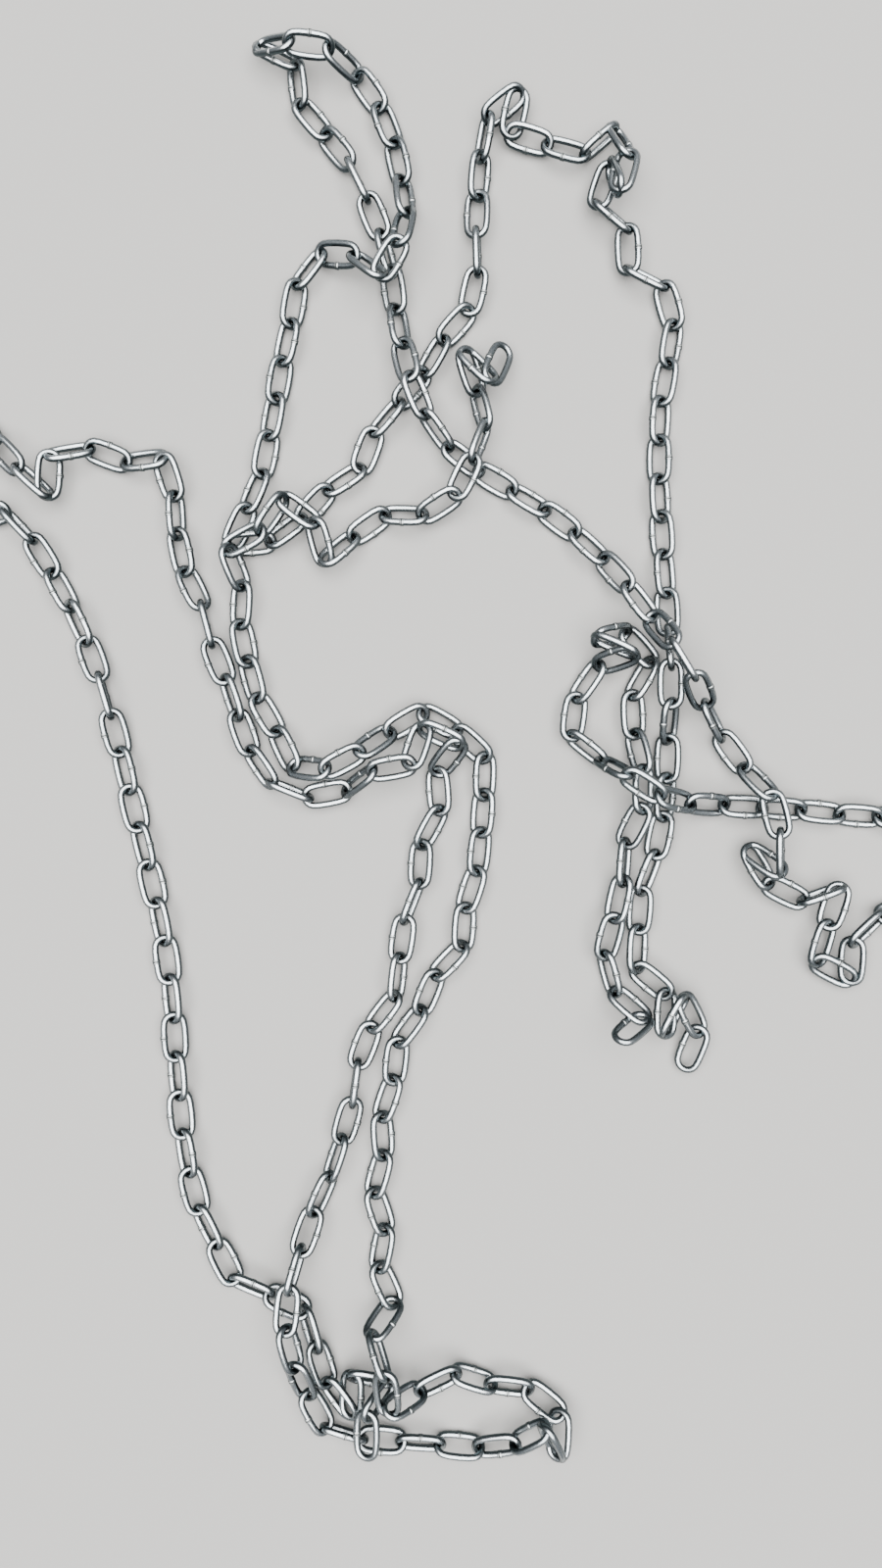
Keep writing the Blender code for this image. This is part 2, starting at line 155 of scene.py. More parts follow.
# %% Route of chain B
CHAIN_B = [
    (699, 1087, 2, 20), (714, 1053, 6, 30), (697, 1019, 10, 60), (679, 1051, 8, 25), (678, 1014, 6, 25),
    (652, 986, 2, 37), (651, 950, 0, 22), (654, 912, 0, 49), (668, 876, 0, 22), (677, 838, 0, 35),
    (681, 802, 0, 22), (683, 764, 0, 46), (684, 724, 0, 20), (683, 684, 0, 75), (684, 644, 0, 25),
    (683, 604, 0, 35), (676, 565), (673, 525), (671, 484), (671, 442),
    (673, 401), (683, 362), (690, 324), (673, 290, 0, 57), (645, 266, 2, 25),
    (632, 237, 4, 60), (622, 204, 4, 20), (616, 168, 4, 80), (636, 202, 14, 20), (642, 163, 10, 45),
    (626, 128, 2, 80), (591, 157, 2, 20), (559, 148, 2, 35), (525, 135, 4, 20), (533, 94, 8, 41),
    (495, 118, 4, 62), (491, 158, 0, 40), (487, 200, 0, 18), (486, 243, 0, 82), (486, 283, 0, 15),
    (473, 320, 0, 38), (453, 349), (432, 379), (408, 410, 0, 49), (385, 441, 0, 20),
    (363, 477, 0, 35), (337, 501), (309, 527), (277, 550), (239, 558, 2),
    (252, 521, 4), (268, 484, 0, 33), (275, 445), (282, 405), (289, 366),
    (297, 327), (306, 288, 0, 42), (326, 263, 0, 25), (361, 261, 6, 45), (381, 289, OVER, 15),
    (411, 254, OVER, 35), (420, 224, 4, 46), (414, 186, 0, 37), (404, 143, 0, 28), (391, 103, 0, 33),
    (367, 67, 0, 20), (334, 42, 2, 49), (296, 46, 6, 20), (257, 47, 6, 35), (295, 62, 2, 49),
    (301, 102, 0, 20), (328, 133, 0, 40), (357, 158, 0, 80), (371, 196, 0, 15), (392, 231, 0, 60),
    (402, 268, 0, 28), (406, 311, 0, 45), (404, 352, 8, 22), (413, 391, OVER, 35), (428, 431, 10, 66),
    (446, 465, 0, 25), (479, 481, 0, 35), (517, 497), (556, 513), (589, 531),
    (618, 562, 4), (644, 594, 14), (667, 628, OVER, 18), (689, 662, OVER, 80), (714, 693, 4, 18),
    (725, 729, 0, 60), (741, 766, 0, 30), (765, 796, 4, 35), (799, 817, OVER, 15), (797, 853, OVER, 70),
    (793, 891, 12, 25), (766, 868, 4, 30), (783, 903, 6, 20), (819, 921, 2, 82), (858, 909, 4, 20),
    (845, 943, 6, 30), (836, 979, 4, 25), (866, 1000, 4, 25), (869, 961, 6, 53), (897, 934, 2, 35),
    (935, 925), (973, 917), (1011, 907), (1036, 877), (1021, 842),
    (983, 832), (940, 834), (896, 837), (857, 831), (818, 826),
    (779, 822), (740, 824, 2), (701, 822, 14), (663, 819, OVER), (638, 790, OVER - 2, 53),
    (606, 770, 2, 60), (577, 746, 0, 15), (589, 711, 0, 46), (607, 681, 6, 35), (641, 662, 22, 75),
    (612, 656, 16, 50), (646, 646, 0, 25), (662, 676, 0, 50), (647, 713, 0, 18), (648, 750, 0, 46),
    (655, 788, 0, 35), (652, 826, 0, 20), (641, 862, 0, 60), (634, 899, 0, 41), (627, 936, 0, 15),
    (622, 972, 0, 60), (630, 1008, 0, 41), (646, 1038, 2, 45), (640, 1056, 22),
]
print("links of chain B:", len(CHAIN_B) - 1)

# %% [markdown]
# ## Reading a route
# The rows are turned into metres, and the leans into rolls.
# Links that hang in each other can't both lie flat,
# so each one is rolled to the other side than the one before it.

# %% Points, heights and rolls
# Scale of the route points: 1.2 points to a millimetre, x to the right, y toward the viewer.
POINT = MM / 1.2
MIDDLE_X = 450.0
MIDDLE_Y = 800.0

# How far a link leans when no row has said it yet, in degrees; neighbours lean to opposite sides.
LEAN = 35.0


def read_route(rows):
    """Give the plan positions and the heights of the bearing points, and the rolls of the links."""
    spots, lifts, rolls = [], [], []
    lean = LEAN
    for i, row in enumerate(rows):
        spots.append(complex(row[0] - MIDDLE_X, MIDDLE_Y - row[1]) * POINT)
        lifts.append(row[2] * MM if len(row) > 2 else 0.0)
        lean = row[3] if len(row) > 3 else lean
        rolls.append(math.radians(lean if i % 2 == 0 else -lean))
    return spots, lifts, rolls[:-1]


def bend_angles(spots):
    """Give the angle between neighbouring links at each bearing point."""
    bends = [0.0]
    for before, here, after in zip(spots, spots[1:], spots[2:]):
        turned = (after - here) / (here - before)
        bends.append(abs(math.atan2(turned.imag, turned.real)))
    return bends + [0.0]


read_spots = read_route(CHAIN_A)[0]
sharpest = math.degrees(max(bend_angles(read_spots)))
print("sharpest turn of chain A, in degrees:", round(sharpest))

# %% [markdown]
# ## Runs
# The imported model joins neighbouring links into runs, and each run gets one dressed piece.
# The runs part at straight, level joints, which are found by adding up how crooked each joint is
# and taking the cheapest set of cuts.

# %% Where the runs part
# A run of links ends where the chain is straight, level and squarely hooked.
FEWEST_IN_RUN = 4
MOST_IN_RUN = 22
CUT_COST = 0.02
END_COST = 9.0
UNEVEN_WEIGHT = 3.0
TWIST_SHARE = 0.5
UNEVEN_POWER = 4


def choose_cuts(bends, heights, rolls):
    """Choose where one run of links ends and the next begins."""
    last = len(bends) - 1
    slopes = [(high - low) / PITCH for low, high in zip(heights, heights[1:])]
    costs = [END_COST] * (last + 1)
    for j in range(1, last):
        twist = abs(math.pi / 2 - abs(rolls[j] - rolls[j - 1]))
        uneven = bends[j] + abs(slopes[j] - slopes[j - 1]) + TWIST_SHARE * twist
        costs[j] = CUT_COST + (UNEVEN_WEIGHT * uneven) ** UNEVEN_POWER
    best = {0: (0.0, [])}
    for j in range(1, last + 1):
        options = []
        for start in range(max(0, j - MOST_IN_RUN), j - FEWEST_IN_RUN + 1):
            if start in best:
                total, cuts = best[start]
                options.append((total + costs[j], cuts + [j]))
        if options:
            best[j] = min(options)
    return best[last][1][:-1]


print("a run may have", FEWEST_IN_RUN, "to", MOST_IN_RUN, "links")

# %% [markdown]
# ## Giving every link its length
# Points read by eye never lie exactly one link apart.
# A few hundred small corrections pull each pair of neighbours to the right distance
# The listed points never lie exactly one link apart.
# Blender's physics could pull a chain tight too, but it would also let the heap slide out of its shape.

# %% Spacing the points
# The bearing points hold near their places for the first sweeps and then only keep the link length.
SWEEPS = 500
HELD_SWEEPS = 350
HOLD = 0.03


def settle(spots, plans):
    """Move the bearing points as little as needed to give every link its own length."""
    free = list(spots)
    for sweep in range(SWEEPS):
        hold = HOLD if sweep < HELD_SWEEPS else 0.0
        for j, spot in enumerate(spots):
            free[j] += hold * (spot - free[j])
        for i, plan in enumerate(plans):
            span = free[i + 1] - free[i]
            shift = 0.5 * (1.0 - plan / abs(span)) * span
            free[i] += shift
            free[i + 1] -= shift
    for i, plan in enumerate(plans):
        span = free[i + 1] - free[i]
        free[i + 1] = free[i] + span * (plan / abs(span))
    return free


misses = [abs(abs(after - here) - PITCH) for here, after in zip(read_spots, read_spots[1:])]
print("points of chain A miss the link length by up to", round(max(misses) / MM, 1), "mm")

# %% [markdown]
# ## Laying one chain
# A link's frame has its Y axis along the link and its X axis across it, in the link's own plane.
# A link that stands more on edge rests higher, and it lifts the ends of its neighbours with it.
# The points were read from a picture, in which what lies higher looks further from the middle,
# so each point is brought nearer to the middle by its height over the distance of the eye.

# %% Lengths and heights in a chain
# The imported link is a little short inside, so that neighbours in a run bite into each other and join.
BITE = 0.5 * MM
INNER_HALF = 0.5 * PITCH - BITE
HALF_CHORD = 0.5 * PITCH

# Where one run ends and the next begins, the links keep clear of each other.
RUN_GAP = 0.7 * MM
HALF_CHORD_AT_GAP = INNER_HALF - 0.5 * RUN_GAP

# No link rises by more than this share of its length.
STEEPEST = 0.85

# The scale holds at this height above the floor; seen from the eye, what lies higher looks further out.
SCALE_HEIGHT = 1.5 * WIRE
EYE_DISTANCE = 1050.0 * MM
print("from bearing to bearing:", round(2.0 * HALF_CHORD / MM, 1), "mm")
print("from bearing to gap:", round((HALF_CHORD + HALF_CHORD_AT_GAP) / MM, 2), "mm")

# %% One chain
class Chain:
    """One length of chain: its route, and the frames of its links once it is laid."""

    def __init__(self, rows):
        self.spots, self.lifts, self.rolls = read_route(rows)
        self.count = len(self.rolls)
        self.bends = bend_angles(self.spots)
        self.rests = [HALF_SPREAD * abs(math.sin(roll)) + 0.5 * WIRE for roll in self.rolls]
        self.cuts = []
        self.part_runs()

    def heights(self):
        last = self.count - 1
        pairs = [(self.rests[max(j - 1, 0)], self.rests[min(j, last)]) for j in range(self.count + 1)]
        return [max(pair) + lift for pair, lift in zip(pairs, self.lifts)]

    def part_runs(self):
        self.cuts = choose_cuts(self.bends, self.heights(), self.rolls)

    def lift_link(self, i, amount):
        self.lifts[i] += amount
        self.lifts[i + 1] += amount

    def ease_slopes(self):
        heights = self.heights()
        for i in range(self.count):
            excess = abs(heights[i + 1] - heights[i]) - STEEPEST * PITCH
            if excess > 0.0:
                self.lifts[i if heights[i] < heights[i + 1] else i + 1] += excess

    def lay(self):
        """Give every link its frame: Y along the link, X across it in its own plane."""
        heights = self.heights()
        halves = [HALF_CHORD_AT_GAP if j in self.cuts else HALF_CHORD for j in range(self.count + 1)]
        plans = []
        for i in range(self.count):
            chord = halves[i] + halves[i + 1]
            rise = heights[i + 1] - heights[i]
            plans.append(math.sqrt(chord * chord - rise * rise))
        nearer = [(height - SCALE_HEIGHT) / EYE_DISTANCE for height in heights]
        free = settle([spot * (1.0 - share) for spot, share in zip(self.spots, nearer)], plans)
        self.frames = []
        for i in range(self.count):
            start = Vector((free[i].real, free[i].imag, heights[i]))
            end = Vector((free[i + 1].real, free[i + 1].imag, heights[i + 1]))
            along = (end - start).normalized()
            side = along.cross(Vector((0, 0, 1))).normalized()
            up = side.cross(along)
            across = math.cos(self.rolls[i]) * side + math.sin(self.rolls[i]) * up
            frame = Matrix((across, along, across.cross(along))).transposed().to_4x4()
            frame.translation = start + halves[i] * along
            self.frames.append(frame)


print("runs of chain A before any link is lifted:", len(Chain(CHAIN_A).cuts) + 1)

# %% [markdown]
# ## Seating the crossings
# Where one strand lies over another, the upper link is lifted half a millimetre at a time
# until the two no longer touch, so that it lies on the lower one and not in it.
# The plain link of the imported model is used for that, because its few corners make the test quick
# and because both models then have every link at the same place.

# %% The plain link
# Six corners around, and a square wire section of nearly the area of the round one.
CORNERS = 6
SECTION_SIDES = 4
SECTION_RADIUS = 0.65 * WIRE


def plain_link(section_radius):
    """Make the mesh of one plain link: a coarse torus drawn out along Y."""
    half_turn = math.pi / CORNERS
    ring = HALF_SPREAD / math.cos(half_turn)
    bpy.ops.mesh.primitive_torus_add(
        major_segments=CORNERS,
        minor_segments=SECTION_SIDES,
        major_radius=ring,
        minor_radius=section_radius,
    )
    torus = bpy.context.active_object
    mesh = torus.data.copy()
    bpy.data.objects.remove(torus, do_unlink=True)
    mesh.transform(Matrix.Rotation(half_turn, 4, "Z"))
    stretch = INNER_HALF - (ring - SECTION_RADIUS)
    for vertex in mesh.vertices:
        vertex.co.y += math.copysign(stretch, vertex.co.y)
    return mesh


print("corners of the plain link:", len(plain_link(SECTION_RADIUS).vertices))

# %% Lifting the crossing links
CLEARANCE = 0.3 * MM
SEAT_STEP = 0.5 * MM
LAPS = 60
LAPS_PER_PARTING = 12


def seat_chains(chains):
    """Lift every link that crosses another until it lies on it and not in it."""
    tester = plain_link(SECTION_RADIUS + 0.5 * CLEARANCE)
    corners = [vertex.co.copy() for vertex in tester.vertices]
    faces = [tuple(face.vertices) for face in tester.polygons]
    above = {}
    for lap in range(LAPS):
        links = []
        for chain in chains:
            if lap % LAPS_PER_PARTING == 0:
                chain.part_runs()
            chain.lay()
            links += [(chain, i) for i in range(chain.count)]
        frames = [chain.frames[i] for chain, i in links]
        trees = [BVHTree.FromPolygons([frame @ corner for corner in corners], faces) for frame in frames]
        centres = np.array([frame.translation for frame in frames])
        spans = np.linalg.norm(centres[:, None] - centres[None, :], axis=2)
        lifted = 0
        for one, other in np.argwhere(np.triu(spans < PITCH + LINK_WIDTH, 1)):
            if other - one < 2 and links[one][0] is links[other][0]:
                continue
            if not trees[one].overlap(trees[other]):
                continue
            pair = (one, other) if centres[one][2] > centres[other][2] else (other, one)
            upper = above.setdefault(frozenset((one, other)), pair[0])
            chain, i = links[upper]
            chain.lift_link(i, SEAT_STEP)
            lifted += 1
        for chain in chains:
            chain.ease_slopes()
        if lifted == 0 and lap % LAPS_PER_PARTING != 0:
            break
    print("laps", lap + 1, "links still touching", lifted)


# %% [markdown]
# ## Both chains in the model's frame
# The heap is centred on the origin and stands on the floor.

# %% Laying both chains
chains = {"a": Chain(CHAIN_A), "b": Chain(CHAIN_B)}
seat_chains(list(chains.values()))
corners = [vertex.co.copy() for vertex in plain_link(SECTION_RADIUS).vertices]
all_frames = [frame for chain in chains.values() for frame in chain.frames]
reach = np.array([frame @ corner for frame in all_frames for corner in corners])
low, high = reach.min(axis=0), reach.max(axis=0)
home = Matrix.Translation((-0.5 * (low[0] + high[0]), -0.5 * (low[1] + high[1]), 0.0))
print("links:", sum(chain.count for chain in chains.values()), "home:", home.translation)

# %% [markdown]
# ## A helper for node trees
# Shapes and finishes are both made with nodes here.
# One small class adds any node, sets its options first and then fills or links its sockets.

# %% Adding nodes
class Graph:
    """A node tree to which nodes are added by type, settings and socket values."""

    def __init__(self, tree):
        self.tree = tree

    def add(self, kind, settings=None, sockets=None):
        node = self.tree.nodes.new(kind)
        for name, value in (settings or {}).items():
            setattr(node, name, value)
        for name, value in (sockets or {}).items():
            self.fill(node.inputs[name], value)
        return node

    def fill(self, socket, value):
        """Link a socket, an amount or several geometries, or set a plain value."""
        for item in value if isinstance(value, list) else [value]:
            source = getattr(item, "socket", item)
            if isinstance(source, bpy.types.NodeSocket):
                self.tree.links.new(source, socket)
            else:
                socket.default_value = source


# %% [markdown]
# ## The shape of one link
# A real link is a piece of round wire, bent to an oval and welded in the middle of one side.
# The oval is two arcs joined by straight sides, swept with a round section.
# The weld is a short barrel around the wire, a little thicker than it.
# A link could be bent by hand from a torus, but a node tree keeps its sizes as named inputs.
# Both shapes are kept coarse here, and a subdivision rounds them once all links are laid.
# It pulls every corner of a ring inwards: the corner keeps four sixths of its own place
# and takes one sixth from each of its two neighbours.
# The sizes are enlarged by what that rounding takes away.

# %% How much a subdivision shrinks a ring
OWN_SHARE = 4.0 / 6.0
NEIGHBOUR_SHARE = 1.0 / 6.0


def grown(radius, corners):
    """Give the radius of a coarse ring whose smoothed ring has the wanted radius."""
    kept = OWN_SHARE + 2.0 * NEIGHBOUR_SHARE * math.cos(2.0 * math.pi / corners)
    return radius / kept


WIRE_SIDES = 6
print("the coarse wire has a radius of", round(grown(0.5 * WIRE, WIRE_SIDES) / MM, 2), "mm")

# %% The bent wire
ARC_POINTS = 6


def bent_wire(graph, sizes):
    """Join two half circles to an oval and sweep a round section along it."""
    arc = graph.add("GeometryNodeCurveArc", {"mode": "RADIUS"}, {
        "Resolution": ARC_POINTS,
        "Radius": sizes["Half width"],
        "Start Angle": 0.0,
        "Sweep Angle": math.pi,
    })
    raised = graph.add("ShaderNodeCombineXYZ", None, {"Y": sizes["Half straight"]})
    top = graph.add("GeometryNodeTransform", None, {
        "Geometry": arc.outputs["Curve"],
        "Translation": raised.outputs["Vector"],
    })
    bottom = graph.add("GeometryNodeTransform", None, {
        "Geometry": top.outputs["Geometry"],
        "Rotation": (0.0, 0.0, math.pi),
    })
    arcs = graph.add("GeometryNodeJoinGeometry", None, {
        "Geometry": [bottom.outputs["Geometry"], top.outputs["Geometry"]],
    })
    points = graph.add("GeometryNodeCurveToPoints", {"mode": "EVALUATED"}, {
        "Curve": arcs.outputs["Geometry"],
    })
    oval = graph.add("GeometryNodePointsToCurves", None, {"Points": points.outputs["Points"]})
    closed = graph.add("GeometryNodeSetSplineCyclic", None, {
        "Geometry": oval.outputs["Curves"],
        "Cyclic": True,
    })

    section = graph.add("GeometryNodeCurvePrimitiveCircle", {"mode": "RADIUS"}, {
        "Resolution": WIRE_SIDES,
        "Radius": sizes["Wire radius"],
    })
    wire = graph.add("GeometryNodeCurveToMesh", None, {
        "Curve": closed.outputs["Geometry"],
        "Profile Curve": section.outputs["Curve"],
    })
    return wire.outputs["Mesh"]


# %% The weld
WELD_CUTS = 2


def weld_barrel(graph, sizes):
    """Put a short closed barrel around the middle of the link's left side."""
    left = graph.add("ShaderNodeMath", {"operation": "MULTIPLY"}, {0: sizes["Half width"], 1: -1.0})
    half = graph.add("ShaderNodeMath", {"operation": "MULTIPLY"}, {0: sizes["Weld length"], 1: 0.5})
    back = graph.add("ShaderNodeMath", {"operation": "MULTIPLY"}, {0: sizes["Weld length"], 1: -0.5})
    start = graph.add("ShaderNodeCombineXYZ", None, {"X": left.outputs[0], "Y": back.outputs[0]})
    end = graph.add("ShaderNodeCombineXYZ", None, {"X": left.outputs[0], "Y": half.outputs[0]})
    seam = graph.add("GeometryNodeCurvePrimitiveLine", {"mode": "POINTS"}, {
        "Start": start.outputs["Vector"],
        "End": end.outputs["Vector"],
    })
    middle = graph.add("GeometryNodeSubdivideCurve", None, {
        "Curve": seam.outputs["Curve"],
        "Cuts": WELD_CUTS,
    })
    barrel = graph.add("GeometryNodeCurvePrimitiveCircle", {"mode": "RADIUS"}, {
        "Resolution": WIRE_SIDES,
        "Radius": sizes["Weld radius"],
    })
    weld = graph.add("GeometryNodeCurveToMesh", None, {
        "Curve": middle.outputs["Curve"],
        "Profile Curve": barrel.outputs["Curve"],
        "Fill Caps": True,
    })
    return weld.outputs["Mesh"]


# %% The link tree
def link_tree():
    """Build the node group that makes one link, with its sizes as named inputs."""
    tree = bpy.data.node_groups.new("round_wire_link", "GeometryNodeTree")
    for name in ("Wire radius", "Half width", "Half straight", "Weld radius", "Weld length"):
        tree.interface.new_socket(name, in_out="INPUT", socket_type="NodeSocketFloat")
    tree.interface.new_socket("Link", in_out="OUTPUT", socket_type="NodeSocketGeometry")
    graph = Graph(tree)
    sizes = graph.add("NodeGroupInput").outputs
    both = graph.add("GeometryNodeJoinGeometry", None, {
        "Geometry": [bent_wire(graph, sizes), weld_barrel(graph, sizes)],
    })
    stored_as = {"data_type": "FLOAT_VECTOR", "domain": "POINT"}
    place = graph.add("GeometryNodeStoreNamedAttribute", stored_as, {
        "Geometry": both.outputs["Geometry"],
        "Name": "link_place",
        "Value": graph.add("GeometryNodeInputPosition").outputs["Position"],
    })
    graph.add("NodeGroupOutput", None, {"Link": place.outputs["Geometry"]})
    return tree


LINK_TREE = link_tree()
print("nodes that make one link:", len(LINK_TREE.nodes))

# %% [markdown]
# ## Laying the link many times
# A second tree puts a copy of the link on every point of a run.
# Each point carries the way its link faces and a number that makes its zinc a little lighter or darker.
# Linked copies of an object would also save work, but instances on points need no object for each link.
# The copies are made real at the end, because the finished model holds plain meshes.

# %% The laying tree
WELD_LENGTH = 5.0 * MM
WELD_SWELL = 1.1
END_TRUE = grown(HALF_SPREAD, 2 * (ARC_POINTS - 1)) - HALF_SPREAD
print("the coarse ends reach further by", round(END_TRUE / MM, 2), "mm")


def laying_tree(finish):
    """Build the modifier tree that lays links on the points of a run."""
    tree = bpy.data.node_groups.new("lay_links", "GeometryNodeTree")
    tree.is_modifier = True
    tree.interface.new_socket("Points", in_out="INPUT", socket_type="NodeSocketGeometry")
    sizes = {
        "Wire radius": grown(0.5 * WIRE, WIRE_SIDES),
        "Half width": HALF_SPREAD,
        "Half straight": HALF_CHORD + 0.5 * WIRE - HALF_SPREAD + END_TRUE,
        "Weld radius": grown(0.5 * WIRE * WELD_SWELL, WIRE_SIDES),
        "Weld length": WELD_LENGTH,
    }
    for name, size in sizes.items():
        socket = tree.interface.new_socket(name, in_out="INPUT", socket_type="NodeSocketFloat")
        socket.default_value = size
    tree.interface.new_socket("Links", in_out="OUTPUT", socket_type="NodeSocketGeometry")
    graph = Graph(tree)
    given = graph.add("NodeGroupInput").outputs
    wanted = {name: given[name] for name in sizes}
    link = graph.add("GeometryNodeGroup", {"node_tree": LINK_TREE}, wanted)
    facing = graph.add("GeometryNodeInputNamedAttribute", {"data_type": "FLOAT_VECTOR"}, {
        "Name": "facing",
    })
    rotation = graph.add("FunctionNodeEulerToRotation", None, {"Euler": facing.outputs["Attribute"]})
    laid = graph.add("GeometryNodeInstanceOnPoints", None, {
        "Points": given["Points"],
        "Instance": link.outputs["Link"],
        "Rotation": rotation.outputs["Rotation"],
    })
    real = graph.add("GeometryNodeRealizeInstances", None, {"Geometry": laid.outputs["Instances"]})
    smooth = graph.add("GeometryNodeSetShadeSmooth", {"domain": "FACE"}, {
        "Geometry": real.outputs["Geometry"],
    })
    zinc = graph.add("GeometryNodeSetMaterial", None, {
        "Geometry": smooth.outputs["Geometry"],
        "Material": finish,
    })
    graph.add("NodeGroupOutput", None, {"Links": zinc.outputs["Geometry"]})
    return tree


# %% [markdown]
# ## Sums on a surface
# A finish is mostly arithmetic on numbers that change over the surface.
# Wrapping a socket in a class lets the arithmetic be written as it would be on paper.

# %% Amounts
class Amount:
    """A number that changes over the surface, held by a node's output socket."""

    def __init__(self, graph, socket):
        self.graph = graph
        self.socket = socket

    def with_other(self, operation, first, second):
        node = self.graph.add("ShaderNodeMath", {"operation": operation}, {0: first, 1: second})
        return Amount(self.graph, node.outputs[0])

    def __add__(self, other):
        return self.with_other("ADD", self, other)

    def __radd__(self, other):
        return self.with_other("ADD", other, self)

    def __sub__(self, other):
        return self.with_other("SUBTRACT", self, other)

    def __rsub__(self, other):
        return self.with_other("SUBTRACT", other, self)

    def __mul__(self, other):
        return self.with_other("MULTIPLY", self, other)

    def __rmul__(self, other):
        return self.with_other("MULTIPLY", other, self)

    def __abs__(self):
        node = self.graph.add("ShaderNodeMath", {"operation": "ABSOLUTE"}, {0: self})
        return Amount(self.graph, node.outputs[0])

    def rising(self, low, high):
        """Go smoothly from 0 at low to 1 at high."""
        node = self.graph.add(
            "ShaderNodeMapRange",
            {"interpolation_type": "SMOOTHSTEP"},
            {"Value": self, "From Min": low, "From Max": high},
        )
        return Amount(self.graph, node.outputs["Result"])

    def falling(self, low, high):
        return 1.0 - self.rising(low, high)


# %% [markdown]
# ## The zinc
# Bright zinc plating is a bluish metal.
# Its sides and underneath are painted dark as painted shade, while faces that look upward keep the zinc's
# colour, and the ends of each link are darkened a little: partly wear, partly painted shade.
# A fine grain breaks up its shine, and every weld is a rough, pale collar with a dark groove.
# The pattern is in each link's own measures, which the link tree stored on its points.
# A painted picture could show the wear too, but noise has no seams and stays sharp from close by.

# %% Colour helpers
# A Mix node has a socket of the same name for each kind of value, so its colours go by number.
FIRST_COLOUR = 6
SECOND_COLOUR = 7
BLENDED_COLOUR = 2


def mix_colours(graph, share, first, second):
    """Blend two colours, each a plain colour or a socket."""
    node = graph.add(
        "ShaderNodeMix",
        {"data_type": "RGBA"},
        {"Factor": share, FIRST_COLOUR: first, SECOND_COLOUR: second},
    )
    return node.outputs[BLENDED_COLOUR]


def noise(graph, coordinates, scale, detail):
    """Give a noise between about 0 and 1, with its scale in spots per metre."""
    node = graph.add("ShaderNodeTexNoise", None, {
        "Vector": coordinates,
        "Scale": scale,
        "Detail": detail,
    })
    return Amount(graph, node.outputs["Fac"])


# %% Colours and spots of the zinc
CLEAN_ZINC = (0.76, 0.80, 0.82, 1.0)
DULL_ZINC = (0.31, 0.36, 0.38, 1.0)
# The dark colour of the painted shade on the sides and underneath, also put a little on the link ends.
PAINTED_SHADE = (0.045, 0.06, 0.065, 1.0)
WELD_SCALE = (0.72, 0.74, 0.73, 1.0)
WELD_GROOVE = (0.05, 0.06, 0.06, 1.0)

# Spots per metre and fineness: grain in the plating, blotches on a link, clouds over the heap.
GRAIN = (1500.0, 3.0)
BLOTCH = (260.0, 4.0)
CLOUD = (9.0, 2.0)
print("a spot of grain is about", round(1.0 / GRAIN[0] / MM, 2), "mm wide")

# %% Where the marks lie on a link
# Each pair of places says where a mark fades; the weld is on the side of the link where X is below zero.
WELD_SIDE = (-6.5 * MM, -5.0 * MM)
COLLAR_END = (2.0 * MM, 2.9 * MM)
GROOVE_EDGE = (0.5 * MM, 0.9 * MM)
BEARING = (13.5 * MM, 17.5 * MM)


def link_marks(graph):
    """Give the weld's collar, its groove and the link's two ends, each from 0 to 1."""
    place = graph.add("ShaderNodeAttribute", {"attribute_name": "link_place"})
    parts = graph.add("ShaderNodeSeparateXYZ", None, {"Vector": place.outputs["Vector"]})
    across = Amount(graph, parts.outputs["X"])
    along = abs(Amount(graph, parts.outputs["Y"]))
    weld_side = across.falling(*WELD_SIDE)
    weld = weld_side * along.falling(*COLLAR_END)
    groove = weld_side * along.falling(*GROOVE_EDGE)
    return weld, groove, along.rising(*BEARING)


print("the weld's collar fades out at", round(COLLAR_END[1] / MM, 1), "mm from its middle")

# %% The zinc finish
# How far upwards a face looks, from the painted shade on the sides to the unshaded top.
PAINTED_SHADE_FACING = (0.52, 0.98)
POLISH = 0.2
BUMP_DEPTH = 0.05 * MM
BUMP_STRENGTH = 0.4


